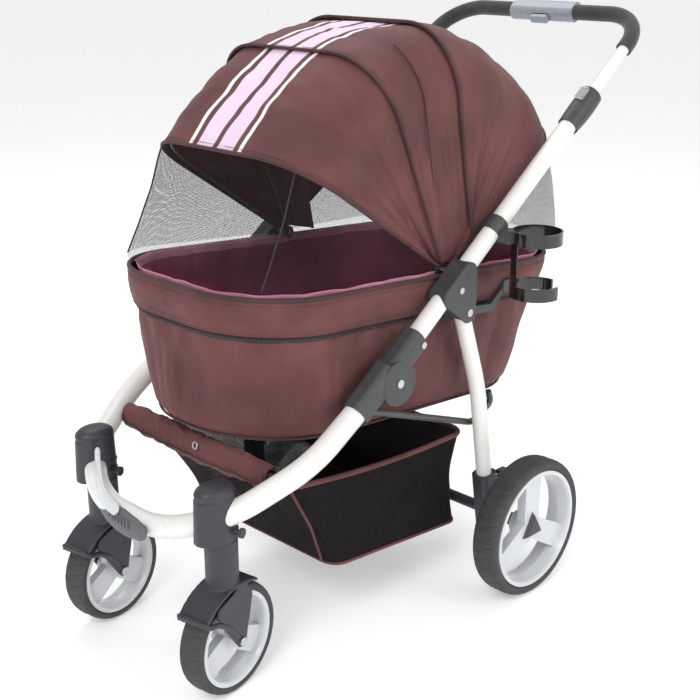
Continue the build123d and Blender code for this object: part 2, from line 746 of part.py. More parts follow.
with BuildPart() as mattress:
    add(cot_body(cot_wall + 4, cot_depth - cot_wall - 34, cot_depth - cot_wall - 0.5))
finish(mattress, "mattress")

# flat arms from the inner faces of the leg brackets to a block on each side of the cot
arm_face = frame_x - bracket_half_w
arm_t = 6.0
with BuildPart() as cot_arm:
    with BuildSketch(side_plane(arm_face - arm_t)):
        with BuildLine():
            FilletPolyline((440, 538), (566, 522), (606, 552), (620, 552), (620, 540), (606, 540), (570, 508),
                           (440, 522), close=True, radius=3)
        make_face()
    extrude(amount=arm_t)
    with BuildSketch(side_plane(cot_width / 2 - 1)):
        with Locations((612, 546)):
            RectangleRounded(28, 22, 5)
    extrude(amount=arm_face - cot_width / 2 + 2)
    add(cross_pin(frame_x, *leg_pivot, pivot_pin_d + 8, 100), mode=Mode.SUBTRACT)
finish_both(cot_arm, "cot_arms")


# ---------------------------------------------------------------- hood
def arch_sketch(angle, half_w, height, base=14.0):
    """A thin arch standing on the hood axis at an angle up from straight ahead."""
    up = (0, -cos(radians(angle)), sin(radians(angle)))
    plane = Plane(origin=at(0, *hood_pivot), x_dir=(1, 0, 0), z_dir=Vector(1, 0, 0).cross(Vector(up)))
    with BuildSketch(plane) as arch:
        for inset, mode in ((0.0, Mode.ADD), (hood_skin, Mode.SUBTRACT)):
            side = half_w - inset
            top = height - inset
            corner = hood_corner_r - inset
            low = base - 3 * inset
            with BuildLine():
                Line((-side, low), (-side, top - corner))
                RadiusArc((-side, top - corner), (-side + corner, top), corner)
                Line((-side + corner, top), (side - corner, top))
                RadiusArc((side - corner, top), (side, top - corner), corner)
                Line((side, top - corner), (side, low))
                Line((side, low), (-side, low))
            make_face(mode=mode)
    return arch.sketch


hood_axis = Axis(at(0, *hood_pivot), (-1, 0, 0))


def hood_section(start, end, nest, base=14.0):
    """A turned shell of arch section from one angle to another, nested inside the fixed hood."""
    half_w = hood_half_w - nest
    height = hood_height - nest
    with BuildPart() as section:
        add(arch_sketch(start, half_w, height, base))
        revolve(axis=hood_axis, revolution_arc=end - start)
    return section.part


with BuildPart() as hood_front:
    add(hood_section(brim_angle, rib_angle - 0.2, 2 * hood_nest))
finish(hood_front, "hood_front")

with BuildPart() as hood_middle:
    add(hood_section(rib_angle, zip_angle - 0.2, hood_nest))
finish(hood_middle, "hood_middle")

with BuildPart() as hood_rear:
    add(hood_section(zip_angle, window_angle, 0.0))
finish(hood_rear, "hood_rear")

with BuildPart() as mesh_rear:
    add(hood_section(window_angle, rear_angle, 0.0, 30.0))
finish(mesh_rear, "mesh_rear")

# the front mesh spreads from the brim down to the cot's front rim
with BuildPart() as mesh_front:
    add(arch_sketch(brim_angle - 1.0, hood_half_w - 2 * hood_nest, hood_height - 2 * hood_nest, 60.0))
    add(arch_sketch(5.0, hood_half_w - 2 * hood_nest, mesh_reach, 60.0))
    loft()
finish(mesh_front, "mesh_front")


def hood_bow(angle, inset):
    """A round wire bow inside the hood with a flat eye at each pivot."""
    half_w = hood_half_w - inset
    height = hood_height - inset
    up = Vector(0, -cos(radians(angle)), sin(radians(angle)))
    base = Vector(at(0, *hood_pivot))

    def spot(x, rise):
        point = base + up * rise
        return (x, point.Y, point.Z)

    with BuildPart() as bow:
        add(bent_rod([spot(half_w, 8), spot(half_w, height), spot(-half_w, height), spot(-half_w, 8)],
                     [hood_corner_r, hood_corner_r], bow_d))
        for side in (-1, 1):
            add(cross_pin(side * half_w, *hood_pivot, 22, 4))
        add(cross_pin(0, *hood_pivot, pivot_pin_d + 2 * bore_gap, 500), mode=Mode.SUBTRACT)
    return bow.part


for bow_name, bow_angle, bow_inset in (("hood_bow_front", brim_angle + 1.5, 12.5),
                                       ("hood_bow_middle", rib_angle + 1.5, 19.0)):
    with BuildPart() as bow_piece:
        add(hood_bow(bow_angle, bow_inset))
    finish(bow_piece, bow_name)

with BuildPart() as hood_pin:
    add(cross_pin((hood_half_w - 24 + arm_face) / 2, *hood_pivot, pivot_pin_d, arm_face - hood_half_w + 24))
finish_both(hood_pin, "hood_pins")

# ---------------------------------------------------------------- basket
with BuildPart() as basket:
    with BuildSketch(side_plane(-basket_width / 2)):
        Polygon(*basket_side, align=None)
    extrude(amount=basket_width)
    with BuildSketch(side_plane(-basket_width / 2 + basket_wall)):
        Polygon((106, 330), (148, 320), (542 - basket_wall, 320), (540 - basket_wall, 98 + basket_wall),
                (385, 106 + basket_wall), (217, 135 + basket_wall), (116, 318), align=None)
    extrude(amount=basket_width - 2 * basket_wall, mode=Mode.SUBTRACT)
finish(basket, "basket")
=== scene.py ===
"""Looks of the pet stroller: fabric, plastics, metal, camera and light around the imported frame."""
import json
import math

import bpy
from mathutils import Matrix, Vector, noise


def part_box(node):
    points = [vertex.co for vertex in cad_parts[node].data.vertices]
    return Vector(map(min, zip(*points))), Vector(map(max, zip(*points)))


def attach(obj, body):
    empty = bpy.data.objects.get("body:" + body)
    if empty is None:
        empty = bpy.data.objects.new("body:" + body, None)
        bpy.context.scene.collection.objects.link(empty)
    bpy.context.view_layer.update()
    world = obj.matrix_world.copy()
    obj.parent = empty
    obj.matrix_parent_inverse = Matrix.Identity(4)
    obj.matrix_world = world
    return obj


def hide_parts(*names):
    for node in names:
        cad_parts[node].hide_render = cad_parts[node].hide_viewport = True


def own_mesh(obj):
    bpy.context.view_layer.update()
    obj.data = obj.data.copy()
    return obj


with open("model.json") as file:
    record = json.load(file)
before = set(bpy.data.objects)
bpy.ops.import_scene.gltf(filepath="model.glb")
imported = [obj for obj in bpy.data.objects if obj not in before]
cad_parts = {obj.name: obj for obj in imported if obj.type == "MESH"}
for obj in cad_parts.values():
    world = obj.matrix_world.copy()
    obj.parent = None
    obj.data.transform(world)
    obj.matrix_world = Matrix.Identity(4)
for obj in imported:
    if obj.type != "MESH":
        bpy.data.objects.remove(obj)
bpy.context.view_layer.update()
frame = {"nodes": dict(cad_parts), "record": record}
nodes = frame["nodes"]

# ---------------------------------------------------------------- driving places, from the frame


def middle(node):
    """The centre of a CAD node's box."""
    low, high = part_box(node)
    return (low + high) / 2


PIVOT = middle("hood_pins")                       # the hood turns about this axis
RIM_LOW, RIM_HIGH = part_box("cot_rim")
BAG_LOW, BAG_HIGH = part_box("basket")
SLEEVE_LOW, SLEEVE_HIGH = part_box("crossbar_sleeve")
RIM_SLOPE = math.radians(4.3)
RIM_R = 0.004                                     # piping radius at the cot's rim
RIM_HALF_W = (RIM_HIGH.x - RIM_LOW.x) / 2 - RIM_R
RIM_HALF_L = (RIM_HIGH.y - RIM_LOW.y) / 2 - RIM_R
RIM_Y = (RIM_HIGH.y + RIM_LOW.y) / 2
RIM_Z = (RIM_HIGH.z + RIM_LOW.z) / 2
RIM_CORNER = 0.14
FLOOR_HALF_W = 0.184
FLOOR_HALF_L = 0.352
FLOOR_Y = RIM_Y - 0.030                           # the floor sits further forward than the rim
COT_DEPTH = 0.236
HEM_DEPTH = 0.056                                 # the padded band under the rim

HOOD_HALF_W = 0.2
HOOD_HEIGHT = 0.39
HOOD_CORNER = 0.112
HOOD_BASE = 0.014
HOOD_NEST = 0.0035
BRIM, RIB, ZIP, WINDOW, REAR = (math.radians(a) for a in (34, 66, 93, 148, 182))
CASTER_TURN = 9.3                                 # degrees that the front wheels are turned at rest
TYRE_WIDTH = (0.044, 0.050)                       # front and rear
CLOTH = 0.0012                                    # thickness of the woven cloth
STRIPE_GAP, STRIPE_PINK = 0.0055, 0.043             # distances from the middle of the hood
STRIPE_LINE = (0.054, 0.062)

# ---------------------------------------------------------------- materials


class Shader:
    """A Principled material with short calls for adding and linking nodes."""

    def __init__(self, name):
        self.material = bpy.data.materials.new(name)
        self.material.use_nodes = True
        self.tree = self.material.node_tree
        self.bsdf = self.tree.nodes["Principled BSDF"]

    def put(self, socket, value):
        if isinstance(value, bpy.types.NodeSocket):
            self.tree.links.new(value, socket)
        else:
            socket.default_value = value

    def add(self, kind, inputs=None, out=0, **settings):
        node = self.tree.nodes.new("ShaderNode" + kind)
        for key, value in settings.items():
            setattr(node, key, value)
        for key, value in (inputs or {}).items():
            self.put(node.inputs[key], value)
        return node.outputs[out]

    def math(self, operation, a, b=0.0):
        return self.add("Math", {0: a, 1: b}, operation=operation)

    def coords(self, kind="Object"):
        return self.add("TexCoord", out={"Object": 3, "UV": 2}[kind])

    def noise(self, scale, detail=3.0, where=None, rough=0.55):
        return self.add("TexNoise", {"Vector": where or self.coords(), "Scale": scale,
                                     "Detail": detail, "Roughness": rough})

    def ramp(self, value, low, high, to_low=0.0, to_high=1.0):
        return self.add("MapRange", {"Value": value, "From Min": low, "From Max": high,
                                     "To Min": to_low, "To Max": to_high})

    def mix(self, factor, a, b):
        node = self.tree.nodes.new("ShaderNodeMix")
        node.data_type = "RGBA"
        self.put(node.inputs[0], factor)
        self.put(node.inputs[6], a)
        self.put(node.inputs[7], b)
        return node.outputs[2]

    def bump(self, height, strength, distance, before=None):
        inputs = {"Height": height, "Strength": strength, "Distance": distance}
        if before is not None:
            inputs["Normal"] = before
        return self.add("Bump", inputs)

    def edge(self, low=0.53, high=0.62):
        """White on convex edges, for wear."""
        return self.ramp(self.add("NewGeometry", out=7), low, high)

    def finish(self, **inputs):
        for key, value in inputs.items():
            self.put(self.bsdf.inputs[key.replace("_", " ")], value)
        return self.material


def rgb(red, green, blue):
    """Linear colour from sRGB values of 0 to 255."""
    def line(c):
        c /= 255
        return c / 12.92 if c <= 0.04045 else ((c + 0.055) / 1.055) ** 2.4
    return (line(red), line(green), line(blue), 1.0)


def painted(name, colour, rough=0.28):
    s = Shader(name)
    dust = s.noise(9.0, 4.0)
    peel = s.noise(900.0, 2.0)
    worn = s.math("MULTIPLY", s.edge(0.56, 0.66), s.ramp(s.noise(160.0), 0.56, 0.7))
    tint = s.mix(s.ramp(dust, 0.35, 0.75, 0.0, 0.05), colour, rgb(205, 203, 198))
    return s.finish(Base_Color=s.mix(s.math("MULTIPLY", worn, 0.15), tint, rgb(150, 150, 150)),
                    Roughness=s.ramp(dust, 0.3, 0.7, rough - 0.05, rough + 0.08),
                    Normal=s.bump(peel, 0.06, 0.0003), Coat_Weight=0.45, Coat_Roughness=0.12)


def plastic(name, colour, rough=0.5, grain=1.0, coat=0.0):
    s = Shader(name)
    dots = s.add("TexVoronoi", {"Vector": s.coords(), "Scale": 900.0})
    cloud = s.noise(26.0, 4.0)
    shade = tuple(min(1.0, c * 1.9 + 0.015) for c in colour[:3]) + (1.0,)
    wear = s.math("MULTIPLY", s.edge(), s.ramp(s.noise(120.0), 0.38, 0.7))
    return s.finish(Base_Color=s.mix(s.math("ADD", s.math("MULTIPLY", wear, 0.22),
                                            s.ramp(cloud, 0.35, 0.8, 0.0, 0.07)), colour, shade),
                    Roughness=s.ramp(cloud, 0.3, 0.7, rough - 0.06, rough + 0.08),
                    Normal=s.bump(dots, 0.10 * grain, 0.0003), Coat_Weight=coat)


def steel(name, colour, rough=0.3):
    s = Shader(name)
    stretched = s.add("Mapping", {"Vector": s.coords(), "Scale": (1.0, 30.0, 30.0)})
    lines = s.noise(60.0, 3.0, stretched)
    return s.finish(Base_Color=s.mix(s.ramp(lines, 0.3, 0.7, 0.0, 0.25), colour, rgb(110, 110, 112)),
                    Metallic=1.0, Roughness=s.ramp(lines, 0.3, 0.7, rough - 0.06, rough + 0.1),
                    Normal=s.bump(lines, 0.08, 0.0002))


def foam(name, colour):
    s = Shader(name)
    cells = s.add("TexVoronoi", {"Vector": s.coords(), "Scale": 1300.0})
    fuzz = s.noise(500.0, 4.0)
    return s.finish(Base_Color=s.mix(s.ramp(s.noise(30.0), 0.35, 0.7), colour, rgb(62, 61, 60)),
                    Roughness=0.9, Sheen_Weight=0.3, Sheen_Roughness=0.5,
                    Normal=s.bump(s.math("ADD", cells, fuzz), 0.35, 0.0004))


def tyre_rubber(name, centres):
    """Rubber with fine circumferential ribs and scuffed dust on the tread."""
    s = Shader(name)
    cloud = s.noise(18.0, 5.0)
    scuff = s.ramp(s.noise(70.0, 4.0), 0.42, 0.7)
    fine = s.noise(700.0, 2.0)
    worn = s.math("MULTIPLY", s.edge(0.5, 0.56), scuff)
    return s.finish(Base_Color=s.mix(s.math("ADD", s.math("MULTIPLY", worn, 0.5),
                                            s.ramp(cloud, 0.4, 0.75, 0.0, 0.25)),
                                     centres, rgb(96, 92, 90)),
                    Roughness=s.ramp(cloud, 0.3, 0.7, 0.62, 0.82), Normal=s.bump(fine, 0.25, 0.0004))


def weave(s, pitch, where):
    """A plain weave's height: two crossed thread waves, pitch metres apart."""
    parts = s.add("SeparateXYZ", {"Vector": where})
    turns = 2 * math.pi / pitch
    across = s.math("SINE", s.math("MULTIPLY", parts, turns))
    split = parts.node.outputs[1]
    along = s.math("SINE", s.math("MULTIPLY", split, turns))
    return s.math("MULTIPLY", across, along)


def cloth(name, colour, light, pitch=0.0014, sheen=0.12, rough=0.74, stripes=False, puff=0.5):
    s = Shader(name)
    where = s.coords("UV")
    threads = weave(s, pitch, where)
    slub = s.noise(420.0, 3.0)
    cloud = s.noise(9.0, 5.0)
    fold = s.noise(34.0, 5.0)
    base = s.mix(s.ramp(cloud, 0.36, 0.64), colour, light)
    base = s.mix(s.ramp(threads, -0.6, 1.0, 0.0, 0.22), base, light)
    if stripes:
        parts = s.add("SeparateXYZ", {"Vector": s.coords()})
        side = s.math("ABSOLUTE", parts)
        past_gap = s.math("GREATER_THAN", side, STRIPE_GAP)
        pink = s.math("MULTIPLY", past_gap, s.math("LESS_THAN", side, STRIPE_PINK))
        line = s.math("MULTIPLY", s.math("GREATER_THAN", side, STRIPE_LINE[0]),
                      s.math("LESS_THAN", side, STRIPE_LINE[1]))
        base = s.mix(pink, base, s.mix(s.ramp(cloud, 0.3, 0.7), rgb(236, 215, 236), rgb(224, 200, 226)))
        base = s.mix(line, base, rgb(244, 238, 244))
    crumple = s.bump(fold, 0.22 * puff, 0.004)
    normal = s.bump(s.math("ADD", threads, s.math("MULTIPLY", slub, 0.8)), 0.22, 0.0004, crumple)
    return s.finish(Base_Color=base, Roughness=rough, Normal=normal, Sheen_Weight=sheen,
                    Sheen_Roughness=0.45, Sheen_Tint=(0.85, 0.6, 0.62, 1.0))


def net(name, colour, cover=0.55, pitch=0.0026):
    """Open mesh cloth: round holes in a hexagonal knit."""
    s = Shader(name)
    where = s.coords("UV")
    parts = s.add("SeparateXYZ", {"Vector": where})
    turns = 2 * math.pi / pitch
    u = s.math("MULTIPLY", parts, turns)
    v = s.math("MULTIPLY", parts.node.outputs[1], turns)
    holes = s.math("ADD", s.math("COSINE", s.math("ADD", u, s.math("MULTIPLY", v, 0.577))),
                   s.math("ADD", s.math("COSINE", s.math("MULTIPLY", v, 1.155)),
                          s.math("COSINE", s.math("SUBTRACT", u, s.math("MULTIPLY", v, 0.577)))))
    thread = s.math("LESS_THAN", holes, -1.5 + 4.2 * cover)
    fuzz = s.noise(300.0, 3.0)
    return s.finish(Base_Color=s.mix(s.ramp(fuzz, 0.3, 0.7), colour, rgb(40, 36, 38)), Roughness=0.8,
                    Alpha=thread, Specular_IOR_Level=0.15)


BROWN, BROWN_LIGHT = rgb(84, 44, 43), rgb(106, 60, 60)
MAT = {
    "tube_white": painted("paint_pearl", rgb(232, 231, 228)),
    "housing_plastic": plastic("housing_plastic", rgb(62, 63, 64), 0.48),
    "caster_plastic": plastic("caster_plastic", rgb(52, 52, 58), 0.42),
    "step_plastic": plastic("step_plastic", rgb(96, 97, 100), 0.45),
    "button_plastic": plastic("button_plastic", rgb(150, 152, 152), 0.35),
    "console_plastic": plastic("console_plastic", rgb(138, 144, 154), 0.33, 0.6, 0.2),
    "grip_foam": foam("grip_foam", rgb(44, 43, 43)),
    "steel_pin": steel("steel_pin", rgb(205, 205, 208)),
    "bar_dark": painted("bar_dark", rgb(60, 64, 62), 0.4),
    "tyre": tyre_rubber("tyre_rubber", rgb(58, 55, 57)),
    "rim_silver": painted("rim_silver", rgb(205, 208, 211), 0.36),
    "cup_gloss": plastic("cup_gloss", rgb(22, 21, 21), 0.16, 0.2, 0.5),
    "fabric_brown": cloth("fabric_brown", BROWN, BROWN_LIGHT),
    "piping_dark": cloth("piping_dark", rgb(52, 30, 32), rgb(78, 46, 48), 0.001),
    "mesh_dark": net("mesh_dark", rgb(22, 19, 22), 0.19),
    "lining": cloth("lining", rgb(138, 52, 84), rgb(168, 78, 112), 0.0018, 0.3),
}
HOOD_CLOTH = cloth("hood_cloth", BROWN, BROWN_LIGHT, stripes=True)
SOLID_GREY = cloth("bag_front_cloth", rgb(34, 31, 32), rgb(50, 47, 48), 0.0016, 0.04)
BAG_NET = net("bag_net", rgb(9, 8, 9), 0.62, 0.003)
BLACK_BAND = cloth("black_band", rgb(26, 24, 25), rgb(44, 41, 43), 0.0011)
THREAD = cloth("thread", rgb(70, 44, 46), rgb(100, 66, 70), 0.0006)
PINK_BAND = cloth("pink_band", rgb(196, 122, 150), rgb(220, 158, 180), 0.0016, 0.3)

for part in frame["record"]["subparts"]:
    skin = nodes[part["node"]].data.materials
    skin.clear()
    skin.append(MAT[part["material_slot"]])

# ---------------------------------------------------------------- mesh helpers


def sheet_mesh(name, rows, cols, point, ring=False, material=None, thick=0.0, level=0):
    """A grid over point(v, u), v and u from 0 to 1, with its UV map in metres."""
    verts = []
    for i in range(rows + 1):
        for j in range(cols if ring else cols + 1):
            verts.append(Vector(point(i / rows, j / cols)))
    wide = cols if ring else cols + 1
    faces = []
    for i in range(rows):
        for j in range(cols):
            k = (j + 1) % wide
            faces.append((i * wide + j, i * wide + k, (i + 1) * wide + k, (i + 1) * wide + j))
    mesh = bpy.data.meshes.new(name)
    mesh.from_pydata(verts, [], faces)
    down = [0.0]
    for i in range(rows):
        down.append(down[-1] + (verts[i * wide + wide // 2] - verts[(i + 1) * wide + wide // 2]).length)
    mid = rows // 2 * wide
    along = [0.0]
    for j in range(cols):
        along.append(along[-1] + (verts[mid + j] - verts[mid + (j + 1) % wide]).length)
    layer = mesh.uv_layers.new(name="UVMap")
    for polygon, (i, j) in zip(mesh.polygons, ((i, j) for i in range(rows) for j in range(cols))):
        corners = ((i, j), (i, j + 1), (i + 1, j + 1), (i + 1, j))
        for loop, (a, b) in zip(polygon.loop_indices, corners):
            layer.data[loop].uv = (along[b], down[a])
    mesh.polygons.foreach_set("use_smooth", [True] * len(mesh.polygons))
    obj = bpy.data.objects.new(name, mesh)
    bpy.context.scene.collection.objects.link(obj)
    obj["cut"] = sum(p.area for p in mesh.polygons)
    if material:
        mesh.materials.append(material)
    if level:
        obj.modifiers.new("smooth", "SUBSURF").levels = level
        obj.modifiers["smooth"].render_levels = level
    if thick:
        solid = obj.modifiers.new("thick", "SOLIDIFY")
        solid.thickness = thick
        solid.offset = -1
    return obj


def piping(name, points, radius, material, closed=False, flat=1.0):
    """A sewn cord along points, as a smooth tube."""
    curve = bpy.data.curves.new(name, "CURVE")
    curve.dimensions = "3D"
    curve.bevel_depth = radius
    curve.bevel_resolution = 3
    curve.use_fill_caps = not closed
    spline = curve.splines.new("POLY")
    spline.points.add(len(points) - 1)
    for spot, p in zip(spline.points, points):
        spot.co = (*p, 1.0)
    spline.use_cyclic_u = closed
    spline.use_smooth = True
    curve.materials.append(material)
    obj = bpy.data.objects.new(name, curve)
    bpy.context.scene.collection.objects.link(obj)
    return obj


def as_mesh(obj):
    """Turns a piping's curve into a mesh."""
    bpy.context.view_layer.objects.active = obj
    obj.select_set(True)
    bpy.ops.object.convert(target="MESH")
    obj.select_set(False)


def stitches(name, points, pitch=0.006, length=0.0038, radius=0.0005, closed=False):
    """A row of raised stitches along points."""
    curve = bpy.data.curves.new(name, "CURVE")
    curve.dimensions = "3D"
    curve.bevel_depth = radius
    curve.bevel_resolution = 1
    curve.use_fill_caps = True
    points = [Vector(p) for p in points] + ([Vector(points[0])] if closed else [])
    walked = 0.0
    for a, b in zip(points, points[1:]):
        step = (b - a).length
        while walked < step:
            start = a.lerp(b, walked / step)
            end = a.lerp(b, min(1.0, (walked + length) / step))
            spline = curve.splines.new("POLY")
            spline.points.add(1)
            spline.points[0].co = (*start, 1.0)
            spline.points[1].co = (*end, 1.0)
            walked += pitch
        walked -= step
    curve.materials.append(THREAD)
    obj = bpy.data.objects.new(name, curve)
    bpy.context.scene.collection.objects.link(obj)
    return obj


def bump(x, low, high):
    """A smooth hump over low to high, 1 in the middle and 0 outside."""
    if x <= low or x >= high:
        return 0.0
    return math.sin(math.pi * (x - low) / (high - low)) ** 2


def ease(x, low, high):
    t = min(1.0, max(0.0, (x - low) / (high - low)))
    return t * t * (3 - 2 * t)


def rough(x, y, z=0.0):
    return noise.noise(Vector((x, y, z)))


def rounded(u, half_w, half_l, corner):
    """A point and its outward direction on a rounded rectangle.

    u runs from 0 to 1, from the front's middle towards +X.
    """
    a, b = half_w - corner, half_l - corner
    arc = corner * math.pi / 2
    total = 4 * a + 4 * b + 4 * arc
    s = (u % 1.0) * total
    turns = [(a, Vector((0, -half_l)), Vector((1, 0)), Vector((0, -1))),
             (2 * b, Vector((half_w, -b)), Vector((0, 1)), Vector((1, 0))),
             (2 * a, Vector((a, half_l)), Vector((-1, 0)), Vector((0, 1))),
             (2 * b, Vector((-half_w, b)), Vector((0, -1)), Vector((-1, 0))),
             (a, Vector((-a, -half_l)), Vector((1, 0)), Vector((0, -1)))]
    centres = [Vector((a, -b)), Vector((a, b)), Vector((-a, b)), Vector((-a, -b))]
    for k, (length, start, along, out) in enumerate(turns):
        if s <= length or k == 4:
            return start + along * s, out
        s -= length
        if s <= arc:
            turn = s / corner
            first = out
            second = along
            out = first * math.cos(turn) + second * math.sin(turn)
            return centres[k] + out * corner, out
        s -= arc
    return turns[0][1], turns[0][3]


# ---------------------------------------------------------------- the cot


def rim_level(y):
    return RIM_Z - (y - RIM_Y) * math.tan(RIM_SLOPE)


def cot_point(u, depth, push=0.0):
    """A point on the cot's outside, depth below the rim, pushed outwards."""
    f = depth / COT_DEPTH
    half_w = RIM_HALF_W + (FLOOR_HALF_W - RIM_HALF_W) * f
    half_l = RIM_HALF_L + (FLOOR_HALF_L - RIM_HALF_L) * f
    spot, out = rounded(u, half_w, half_l, RIM_CORNER + 0.035 * f)
    x, y = spot + out * push
    y += RIM_Y + (FLOOR_Y - RIM_Y) * f
    return Vector((x, y, rim_level(y) - depth))


# profile down the cover: (share of the walk, depth, push)
COVER = [(0.0, 0.002, 0.000), (0.10, 0.016, 0.0045), (0.22, 0.040, 0.005), (0.29, HEM_DEPTH, 0.003),
         (0.305, HEM_DEPTH + 0.001, -0.003), (0.33, HEM_DEPTH + 0.004, -0.004), (0.45, 0.095, 0.000),
         (0.70, 0.165, 0.002), (0.90, 0.222, 0.000), (0.97, 0.236, -0.010), (1.0, 0.2405, -0.026)]


def along_profile(table, v):
    for (v0, d0, p0), (v1, d1, p1) in zip(table, table[1:]):
        if v <= v1:
            f = (v - v0) / (v1 - v0)
            return d0 + (d1 - d0) * f, p0 + (p1 - p0) * f
    return table[-1][1:]


def cover_point(v, u):
    depth, push = along_profile(COVER, v)
    loose = bump(v, 0.30, 1.02)
    folds = rough(u * 46, depth * 5, 2.0) * 0.6 + rough(u * 19, depth * 9, 7.0)
    push += loose * 0.0085 * folds
    tuck = max(0.0, rough(u * 27, 11.0) + 0.1)
    push -= loose * 0.012 * tuck * (1 - 2 * abs((u * 62 + 2 * rough(u * 9, 5.0)) % 1.0 - 0.5))
    push += 0.0028 * bump(v, 0.3, 0.5) * math.sin(u * 2 * math.pi * 34 + 3 * rough(u * 12, 1.0))
    pucker = rough(u * 30, depth * 30, 4.0) + 0.5 * rough(u * 90, depth * 60, 1.0)
    push += 0.0024 * bump(v, 0.02, 0.29) * pucker
    sag = 0.004 * bump(v, 0.7, 1.0) * rough(u * 11, 3.0)
    p = cot_point(u, depth, push)
    return p - Vector((0, 0, sag))


cot_cover = sheet_mesh("cot_cover", 56, 420, cover_point, True, MAT["fabric_brown"], CLOTH)


def base_point(v, u):
    """The cot's underside, from the cover's bottom edge in to the middle."""
    edge = cover_point(1.0, u)
    centre = Vector((0, FLOOR_Y, rim_level(FLOOR_Y) - COT_DEPTH - 0.006))
    p = edge.lerp(centre, v)
    p.z += 0.0015 * rough(p.x * 30, p.y * 30) * bump(v, 0.0, 1.0)
    return p


cot_base = sheet_mesh("cot_base", 10, 420, base_point, True, MAT["fabric_brown"], CLOTH)


def liner_point(v, u):
    """The padded wall inside: it rolls over the rim's inner edge and runs down to the floor."""
    depth = 0.205 * v
    puff = 0.011 * bump(v, -0.12, 0.34) + 0.007 * bump(v, 0.3, 1.05)
    channel = 0.6 + 0.4 * abs(math.sin(u * math.pi * 26)) ** 0.5
    push = -0.006 - puff * channel
    push += 0.0030 * rough(u * 70, v * 5, 9.0) + 0.002 * rough(u * 23, v * 3, 2.0)
    lift = 0.008 + 0.004 * rough(u * 34, 3.0)
    return cot_point(u, depth, push) + Vector((0, 0, lift * bump(v, -0.1, 0.2)))


cot_liner = sheet_mesh("cot_liner", 26, 416, liner_point, True, MAT["lining"], 0.001)
cot_liner.data.materials.append(PINK_BAND)
for polygon in cot_liner.data.polygons[:416 * 2]:
    polygon.material_index = 1

rim_piping = piping("rim_piping", [cot_point(k / 240, 0.0, 0.0) for k in range(240)], RIM_R,
                    MAT["piping_dark"], True)
hem_piping = piping("hem_piping", [cot_point(k / 240, HEM_DEPTH + 0.0005, 0.0035) for k in range(240)],
                    0.0016, MAT["fabric_brown"], True)
rim_stitch = stitches("rim_stitches", [cot_point(k / 240, 0.009, 0.0042) for k in range(240)], closed=True)
hem_stitch = stitches("hem_stitches", [cot_point(k / 240, HEM_DEPTH - 0.006, 0.0052) for k in range(240)],
                      closed=True)
foot_piping = piping("cot_foot_piping", [cot_point(k / 240, 0.2345, -0.004) for k in range(240)], 0.0022,
                     MAT["piping_dark"], True)
zip_tape = sheet_mesh("skirt_zip", 3, 300,
                      lambda v, u: cot_point(u, HEM_DEPTH + 0.003 + 0.009 * v, -0.001), True, BLACK_BAND,
                      0.0008)
zip_teeth = stitches("skirt_zip_teeth", [cot_point(k / 300, HEM_DEPTH + 0.0085, 0.0004) for k in range(300)],
                     0.004, 0.0024, 0.0011, True)
pull_at = cot_point(0.235, HEM_DEPTH + 0.008, 0.004)
pull_line = [pull_at, pull_at + Vector((0.002, 0, -0.010)), pull_at + Vector((0.003, 0, -0.026))]
zip_pull = piping("zip_pull", pull_line, 0.0019, MAT["steel_pin"])
for obj in (zip_pull, cot_cover, cot_base, cot_liner, rim_piping, hem_piping, rim_stitch, hem_stitch,
            zip_tape, zip_teeth,
            foot_piping):
    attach(obj, "push_frame")
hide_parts("cot_tub")
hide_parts("cot_rim")

# ---------------------------------------------------------------- the cushion on the cot's floor


def cushion_point(v, u):
    """A crowned pad: v runs from the underside's middle, round the edge, to the top's middle."""
    low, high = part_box("mattress")
    centre = (low + high) / 2
    half_w, half_l = (high.x - low.x) / 2 - 0.012, (high.y - low.y) / 2 - 0.02
    turn = v * math.pi
    wide = math.sin(turn) ** 0.45
    spot, _ = rounded(u, half_w, half_l, 0.13)
    x, y = spot.x * wide, spot.y * wide
    slope = math.tan(RIM_SLOPE)
    thick = 0.03
    tuft = 1.0 - 0.35 * bump((x * 7) % 1.0, 0.35, 0.65) * bump((y * 7) % 1.0, 0.35, 0.65)
    z = -math.cos(turn) * thick / 2 * (tuft if v > 0.5 else 1.0)
    return Vector((x + centre.x, y + centre.y, centre.z - y * slope + z))


cushion = sheet_mesh("cot_cushion", 40, 160, cushion_point, True, MAT["lining"])


def settle(obj, cell, pressure, frames=14):
    """Inflate a closed pad with a short cloth run, apply it and smooth the result."""
    def use(kind, name, **settings):
        mod = obj.modifiers.new(name, kind)
        for key, value in settings.items():
            setattr(mod, key, value)
        return mod

    bpy.context.view_layer.objects.active = obj
    obj.select_set(True)
    use("REMESH", "even", mode="VOXEL", voxel_size=cell, use_smooth_shade=True)
    bpy.ops.object.modifier_apply(modifier="even")
    edge = obj.vertex_groups.new(name="edge")
    levels = [v.co.z + (v.co.y - obj_middle(obj).y) * math.tan(RIM_SLOPE) for v in obj.data.vertices]
    ground = min(levels) + 0.006
    edge.add([v.index for v, z in zip(obj.data.vertices, levels) if z < ground], 1.0, "REPLACE")
    run = use("CLOTH", "settle")
    run.settings.quality = 5
    run.settings.tension_stiffness = 18
    run.settings.compression_stiffness = 18
    run.settings.bending_stiffness = 0.6
    run.settings.use_pressure = True
    run.settings.uniform_pressure_force = pressure
    run.settings.effector_weights.gravity = 0.0
    run.settings.vertex_group_mass = "edge"
    run.point_cache.frame_start = 1
    run.point_cache.frame_end = frames
    for number in range(1, frames + 1):
        bpy.context.scene.frame_set(number)
    bpy.ops.object.modifier_apply(modifier="settle")
    bpy.context.scene.frame_set(1)
    obj.modifiers.new("smooth", "SUBSURF").levels = 1
    obj.select_set(False)


def obj_middle(obj):
    spots = [v.co for v in obj.data.vertices]
    return sum(spots, Vector()) / len(spots)


